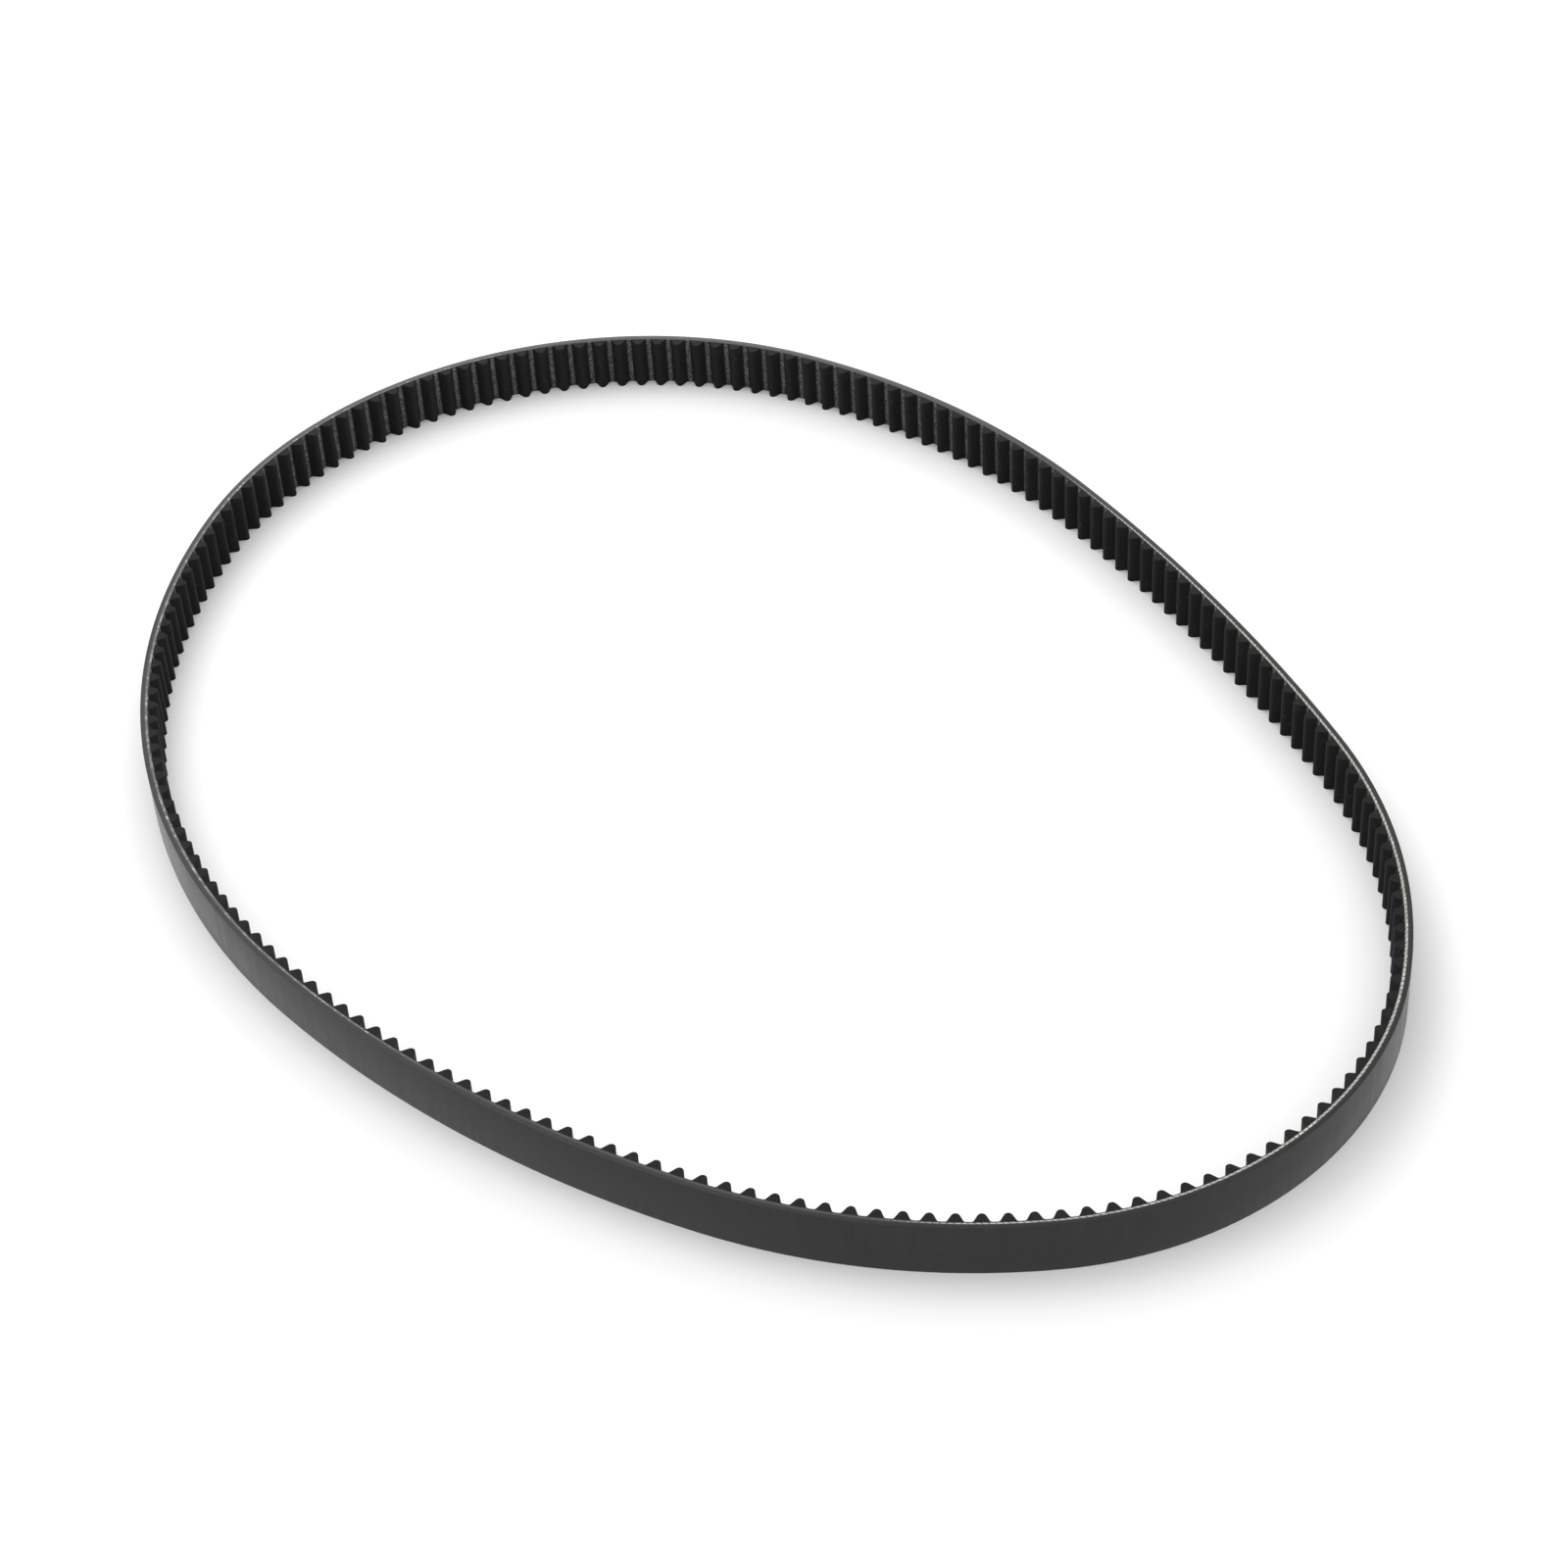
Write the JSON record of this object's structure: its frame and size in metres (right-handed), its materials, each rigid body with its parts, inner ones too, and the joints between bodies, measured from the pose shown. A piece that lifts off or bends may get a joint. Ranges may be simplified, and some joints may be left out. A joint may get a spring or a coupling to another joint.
{
  "type": "timing belt",
  "caption": "Endless rubber timing belt with round-nosed teeth inside and a smooth back, standing on its cut edge in a relaxed egg-shaped loop.",
  "frame": {"origin": "centre of the loop's bounding box, on the lower slit edge that the belt stands on", "axes": "+Z across the belt's width, +X along the loop's long way, +Y along its short way"},
  "size_m": [0.5302, 0.3744, 0.02],
  "materials": {
    "back_rubber": "satin, ground",
    "cord_gum": "matt, cut",
    "glass_cord": "twisted glass yarn, matt",
    "tooth_rubber": "matt, cut"
  },
  "bodies": {
    "root": {"back_rubber": "back_rubber", "cord_gum": "cord_gum", "tension_cord_s": "glass_cord", "tension_cord_z": "glass_cord", "tooth_rubber": "tooth_rubber"}
  },
  "joints": []
}
